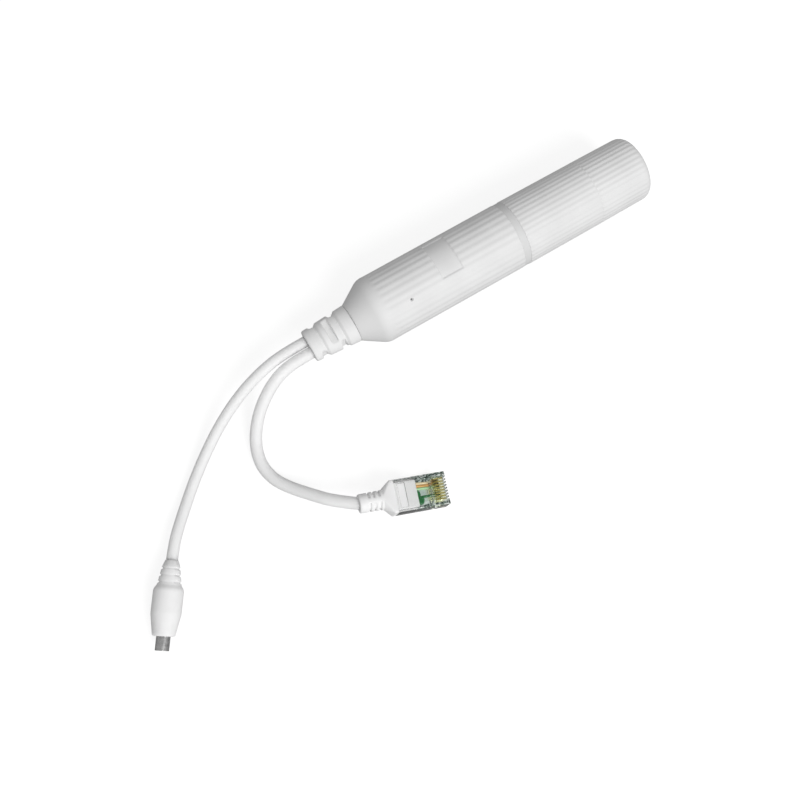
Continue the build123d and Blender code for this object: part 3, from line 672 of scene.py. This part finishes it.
def addMainTube():
    t = mainTube
    ribs = ribbing(**t["ribs"])
    ridge = thread(**t["thread"])

    def radiusAt(x, r, tag, angle):
        if tag == "ribs":
            inPad = padCut(x, angle)
            return r - ribs(x, angle) * (1 - inPad) - pad["depth"] * inPad
        if tag == "thread":
            return r + ridge(x, angle)
        if r <= t["hole"]:
            return 1 / math.sqrt((math.cos(angle) / t["holeHalfWidth"])**2
                                 + (math.sin(angle) / t["holeHalfHeight"])**2)
        return r
    mesh = turnedMesh("main_tube_shell", tubeRows(), housing["turns"], radiusAt)
    piece = addPiece("main_tube_shell", mesh, "main", "housing_white", ["main_tube"])
    drill(piece)


# The pinhole over the lamp, wider at its rim, and how far its cutter reaches in and out
pinhole = {
    "x": -30.6, "turn": 31.3, "radius": 0.3, "rimRadius": 0.66, "rimDepth": 0.6, "sides": 32,
    "rimBelow": 0.05, "inwards": 4, "outwards": 2,
}


def drill(piece):
    p = pinhole
    rim = housing["radius"] - p["rimBelow"]
    profile = [(p["radius"], rim - p["inwards"]), (p["radius"], rim - p["rimDepth"]),
               (p["rimRadius"], rim), (p["rimRadius"], rim + p["outwards"])]
    place = Matrix.Translation((p["x"] * mm, 0, axisHeight * mm))
    place = place @ Matrix.Rotation(math.radians(p["turn"]), 4, "X")
    mesh = bmesh.new()
    rings = []
    for radius, height in profile:
        ring = []
        for k in range(p["sides"]):
            angle = fullTurn * k / p["sides"]
            at = Vector((radius * math.cos(angle), radius * math.sin(angle), height)) * mm
            ring.append(mesh.verts.new(place @ at))
        rings.append(ring)
    for low, high in zip(rings, rings[1:]):
        for k in range(p["sides"]):
            j = (k + 1) % p["sides"]
            mesh.faces.new((low[k], low[j], high[j], high[k]))
    mesh.faces.new(list(reversed(rings[0])))
    mesh.faces.new(rings[-1])
    data = bpy.data.meshes.new("drill")
    mesh.to_mesh(data)
    mesh.free()
    cutter = bpy.data.objects.new("drill", data)
    bpy.context.scene.collection.objects.link(cutter)
    modifier = piece.modifiers.new("hole", "BOOLEAN")
    modifier.operation = "DIFFERENCE"
    modifier.object = cutter
    modifier.solver = "EXACT"
    applyModifiers(piece)
    bpy.data.objects.remove(cutter)


rearCover = {
    "bore": 10.95, "boreDepth": 12.6, "chamber": 10.2, "chamberRound": 0.4, "endWall": 3,
    "sealSeat": 8.0, "neckLength": 10, "neckRound": 0.4, "threadRoot": 9.2,
    "edgeRound": 0.2, "frontRound": 0.25, "jointRound": 0.06, "stepRound": 0.1,
    "ribs": {"count": 40, "depth": 0.11, "turn": 2.8, "start": housing["cover"] - 1.0,
             "end": housing["joint"] + 1.0, "fadeIn": 0.5, "fadeOut": 0.5, "sharpness": 1.15},
    "thread": {"start": housing["joint"] + 0.8, "end": housing["joint"] + 9.6, "pitch": 2.0,
               "height": 0.34},
    "rowSteps": {"ribs": 2.5, "thread": 0.22},
}


def addRearCover():
    h, c = housing, rearCover
    ribs = ribbing(**c["ribs"])
    ridge = thread(**c["thread"])
    points = [
        (h["cover"], c["bore"], c["edgeRound"], None),
        (h["cover"], h["radius"], c["frontRound"], "ribs"),
        (h["joint"], h["coverEnd"], c["jointRound"], None),
        (h["joint"], c["threadRoot"], 0, "thread"),
        (h["joint"] + c["neckLength"], c["threadRoot"], c["neckRound"], None),
        (h["joint"] + c["neckLength"], c["sealSeat"], c["edgeRound"], None),
        (h["joint"] - c["endWall"], c["sealSeat"], c["edgeRound"], None),
        (h["joint"] - c["endWall"], c["chamber"], c["chamberRound"], None),
        (h["cover"] + c["boreDepth"], c["chamber"], c["stepRound"], None),
        (h["cover"] + c["boreDepth"], c["bore"], 0, None),
    ]
    rows = split(rounded(points), c["rowSteps"])

    def radiusAt(x, r, tag, angle):
        if tag == "ribs":
            return r - ribs(x, angle)
        if tag == "thread":
            return r + ridge(x, angle)
        return r
    mesh = turnedMesh("rear_cover_shell", rows, h["turns"], radiusAt)
    addPiece("rear_cover_shell", mesh, "cover", "housing_white", ["rear_cover"])


endNut = {
    "bore": 9.65, "coneStart": 11.5, "coneEnd": 16.9, "coneFoot": 9.1, "coneTop": 6.6,
    "lip": 5.2, "holeFlare": 5.6, "holeRound": 0.6, "endRound": 4.0,
    "edgeRound": 0.2, "jointRound": 0.06, "stepRound": 0.1,
    "ribs": {"count": 40, "depth": 0.13, "turn": 5.3, "start": housing["joint"] - 1.0,
             "end": housing["end"] - 0.2, "fadeIn": 0.5, "fadeOut": 2.8, "sharpness": 1.0},
    "ribsAbove": 9.0,  # the grooves reach down the rounded end to this radius
    "rowSteps": {"ribs": 2.5},
}


def addEndNut():
    h, n = housing, endNut
    ribs = ribbing(**n["ribs"])
    points = [
        (h["joint"], n["bore"], n["edgeRound"], None),
        (h["joint"], h["coverEnd"], n["jointRound"], "ribs"),
        (h["end"], h["nutEnd"], n["endRound"], "face"),
        (h["end"], n["holeFlare"], n["holeRound"], None),
        (h["joint"] + n["coneEnd"], n["lip"], n["stepRound"], None),
        (h["joint"] + n["coneEnd"], n["coneTop"], n["stepRound"], None),
        (h["joint"] + n["coneStart"], n["coneFoot"], n["stepRound"], None),
        (h["joint"] + n["coneStart"], n["bore"], 0, None),
    ]
    rows = split(rounded(points), n["rowSteps"])

    def radiusAt(x, r, tag, angle):
        if tag in ("ribs", "face") and r > n["ribsAbove"]:
            return r - ribs(x, angle)
        return r
    mesh = turnedMesh("end_nut_shell", rows, h["turns"], radiusAt)
    addPiece("end_nut_shell", mesh, "nut", "housing_white", ["end_nut"])


gasket = {"bore": 10.6, "radius": 12.36, "round": 0.1, "rowSteps": {"face": 0.3}}


def addGasket():
    h, g = housing, gasket
    points = [
        (h["seam"], g["bore"], g["round"], None),
        (h["seam"], g["radius"], g["round"], "face"),
        (h["cover"], g["radius"], g["round"], None),
        (h["cover"], g["bore"], g["round"], None),
    ]
    rows = split(rounded(points), g["rowSteps"])
    mesh = turnedMesh("seam_gasket_ring", rows, h["turns"], lambda x, r, tag, angle: r)
    addPiece("seam_gasket_ring", mesh, "main", "gasket_grey", ["seam_gasket"])


addMainTube()
addRearCover()
addEndNut()
addGasket()
print("housing turned")

# Soft mouldings: the solid's form, remeshed and relaxed so that its edges round over

softPieces = {
    "strain_relief": {"voxel": 0.22, "passes": 6},
    "plug_boot": {"voxel": 0.14, "passes": 5},
}
softEdgeAngle = 60

# The strain relief's outer skin, drawn in between its collars so that the notches meet across
# the top: places and reach along the axis, only where the skin faces outwards
reliefGrooves = {"places": (-64.0, -56.2), "depth": 0.6, "reach": 0.95, "facing": 0.3, "core": 1}


def softened(node, name, voxel, passes):
    piece = addPiece(name, nodes[node].data.copy(), bodyOf[node], slotOf[node], [node])
    remesh = piece.modifiers.new("remesh", "REMESH")
    remesh.mode = "VOXEL"
    remesh.voxel_size = voxel * mm
    remesh.use_smooth_shade = True
    relax = piece.modifiers.new("relax", "SMOOTH")
    relax.factor = 0.5
    relax.iterations = passes
    applyModifiers(piece)
    mesh = bmesh.new()
    mesh.from_mesh(piece.data)
    old = piece.data
    piece.data = finishMesh(name, mesh, softEdgeAngle)
    bpy.data.meshes.remove(old)
    dress(piece, slotOf[node])
    return piece


def grooveAcross(piece):
    g = reliefGrooves
    centre = Vector((0, 0, axisHeight * mm))
    normals = [v.normal.copy() for v in piece.data.vertices]  # before any vertex moves
    for v, normal in zip(piece.data.vertices, normals):
        out = v.co - centre
        out.x = 0
        if out.length < g["core"] * mm or normal.dot(out.normalized()) < g["facing"]:
            continue
        for place in g["places"]:
            share = smooth(1.0 - abs(v.co.x / mm - place) / g["reach"])
            v.co -= out.normalized() * (g["depth"] * mm * share)


made = {node: softened(node, node + "_moulding", **facts) for node, facts in softPieces.items()}
dress(made["strain_relief"], "relief_white")
grooveAcross(made["strain_relief"])
print("mouldings softened:", ", ".join(made))

# Power plug: a turned moulding with rings that deepen to slots at its sides

powerPlug = {
    "tip": 2.2, "tipRound": 0.2, "cableBore": 1.9,
    "neck": 2.4, "neckRadius": 3.1, "neckRound": 2.0,
    "reliefEnd": 8.4, "root": 4.1, "rootRound": 1.2,
    "shoulder": 9.9, "radius": 5.15, "shoulderRound": 2.4, "nose": 18.0, "noseRound": 6.0,
    "front": 25.4, "frontRadius": 3.8, "frontRound": 2.2,
    "bore": 2.42, "boreRound": 0.1, "boreDepth": 4.9,
    "slots": (2.9, 5.2, 7.5), "slotWidth": 0.5, "ringDepth": 0.1, "slotDepth": 0.35,
    "slotFloor": 1.5, "slotWall": 1.6,  # how flat a slot's floor is and how steep its walls
    "sideStart": 0.28, "sideSteepness": 4,  # where on the way round a ring turns into a slot
    "rowSteps": {"relief": 0.12, "body": 0.6}, "turns": 160,
}


def addPowerPlug():
    p = powerPlug
    points = [
        (0, p["cableBore"], 0, None),
        (0, p["tip"], p["tipRound"], "relief"),
        (p["neck"], p["neckRadius"], p["neckRound"], "relief"),
        (p["reliefEnd"], p["root"], p["rootRound"], "body"),
        (p["shoulder"], p["radius"], p["shoulderRound"], "body"),
        (p["nose"], p["radius"], p["noseRound"], "body"),
        (p["front"], p["frontRadius"], p["frontRound"], None),
        (p["front"], p["bore"], p["boreRound"], None),
        (p["front"] - p["boreDepth"], p["bore"], 0, None),
        (p["front"] - p["boreDepth"], p["cableBore"], 0, None),
    ]
    rows = split(rounded(points), p["rowSteps"])

    def radiusAt(x, r, tag, angle):
        if tag != "relief":
            return r
        side = smooth((math.cos(angle)**2 - p["sideStart"]) * p["sideSteepness"])
        depth = p["ringDepth"] + p["slotDepth"] * side
        for middle in p["slots"]:
            away = abs(x - middle) / p["slotWidth"]
            r -= depth * smooth(p["slotFloor"] - p["slotWall"] * away)
        return r
    mesh = turnedMesh("dc_plug_moulding", rows, p["turns"], radiusAt)
    place = powerPlace.copy()
    place.translation *= mm
    mesh.transform(place @ Matrix.Translation((0, 0, -axisHeight * mm)))
    return addPiece("dc_plug_moulding", mesh, "main", slotOf["dc_plug_body"], ["dc_plug_body"])


made["dc_plug_body"] = addPowerPlug()
print("power plug turned")

# Clear plug shell: the solid with its flat faces joined and its edges eased

clearShell = {"merge": 0.002, "flatAngle": 3, "edgeAngle": 40, "edgeWidth": 0.06, "steps": 2}


def addClearShell():
    s = clearShell
    mesh = bmesh.new()
    mesh.from_mesh(nodes["plug_shell"].data)
    bmesh.ops.remove_doubles(mesh, verts=mesh.verts, dist=s["merge"] * mm)
    bmesh.ops.dissolve_limit(mesh, angle_limit=math.radians(s["flatAngle"]), verts=mesh.verts,
                             edges=mesh.edges)
    edges = [e for e in mesh.edges
             if len(e.link_faces) == 2 and e.calc_face_angle(0) > math.radians(s["edgeAngle"])]
    bmesh.ops.bevel(mesh, geom=edges, offset=s["edgeWidth"] * mm, segments=s["steps"],
                    affect="EDGES", profile=0.5, clamp_overlap=True)
    bmesh.ops.triangulate(mesh, faces=mesh.faces)
    data = finishMesh("plug_shell_clear", mesh)
    return addPiece("plug_shell_clear", data, bodyOf["plug_shell"], slotOf["plug_shell"],
                    ["plug_shell"])


# The green conductor's loose loop, spread flat where it is bent round inside the plug: how far,
# and from where to where along the plug the spreading fades out
greenLoop = {"amount": 0.4, "start": -8.9, "end": -7.9}


def addGreenLoop():
    g = greenLoop
    toPlug = plugPlace.inverted()
    turnToPlug = plugPlace.to_3x3().inverted()
    mesh = nodes["conductor_green"].data.copy()
    normals = [v.normal.copy() for v in mesh.vertices]  # before any vertex moves
    for v, normal in zip(mesh.vertices, normals):
        along = (toPlug @ (v.co / mm)).x
        flat = turnToPlug @ normal
        flat.z = 0
        share = smooth((g["end"] - along) / (g["end"] - g["start"]))
        v.co += plugPlace.to_3x3() @ flat * g["amount"] * mm * share
    for face in mesh.polygons:
        face.use_smooth = True
    return addPiece("conductor_green_loop", mesh, bodyOf["conductor_green"],
                    slotOf["conductor_green"], ["conductor_green"])


made["plug_shell"] = addClearShell()
made["conductor_green"] = addGreenLoop()
print("plug shell eased")

for name, facts in cords.items():
    [v * mm for v in facts["points"][0]]
    facts["length"] * mm
    facts["diameter"] * mm

# Floor, light and background, in metres

floorPaper = {
    "size": 3.0, "drop": 0.00002, "color": (0.36, 0.36, 0.36), "rough": 0.9, "shine": 0.1,
    "seen": 0.78, "seenThrough": 0.42,  # its own white for the camera, and through clear plastic
}
keyLamp = {
    "place": (0.12, -1.25, 1.05), "aim": (-0.05, -0.03, 0.0), "size": 1.0, "power": 17.0,
}
studio = {"level": 0.47, "seenThrough": 0.03, "seen": 1.0}


def addFloor():
    f = floorPaper
    mesh = bmesh.new()
    bmesh.ops.create_grid(mesh, x_segments=1, y_segments=1, size=f["size"])
    data = bpy.data.meshes.new("floor")
    mesh.to_mesh(data)
    mesh.free()
    floor = bpy.data.objects.new("floor", data)
    floor.location = (0, 0, -f["drop"])
    bpy.context.scene.collection.objects.link(floor)
    tree = Tree(bpy.data.materials.new("floor_paper"))
    seen = tree.lightPath("Is Camera Ray") * f["seen"]
    through = tree.lightPath("Is Transmission Ray") * f["seenThrough"]
    glow = tree.mixed((seen + through).clamped(), (0, 0, 0, 1), (1, 1, 1, 1))
    data.materials.append(tree.surface(color=solid(f["color"]), rough=f["rough"],
                                       shine=f["shine"], glow=glow, glowStrength=1.0))


def addKeyLamp():
    k = keyLamp
    data = bpy.data.lights.new("key", "AREA")
    data.shape = "DISK"
    data.size = k["size"]
    data.energy = k["power"]
    lamp = bpy.data.objects.new("key", data)
    lamp.location = k["place"]
    away = Vector(k["place"]) - Vector(k["aim"])
    lamp.rotation_euler = away.to_track_quat("Z", "Y").to_euler()
    bpy.context.scene.collection.objects.link(lamp)


def addWorld():
    # Even light all round, white where the camera looks into it and dim through clear plastic
    world = bpy.data.worlds.new("studio")
    bpy.context.scene.world = world
    tree = Tree(world, "Background")
    level = studio["level"]
    for ray, strength in (("Is Transmission Ray", studio["seenThrough"]),
                          ("Is Camera Ray", studio["seen"])):
        level = tree.lightPath(ray).spread(0.0, 1.0, level, strength)
    tree.put(tree.shader.inputs["Color"], (1, 1, 1, 1))
    tree.put(tree.shader.inputs["Strength"], level)


addFloor()
addKeyLamp()
addWorld()
bpy.context.scene.view_settings.view_transform = "Standard"
print("stage lit")

bpy.context.view_layer.update()
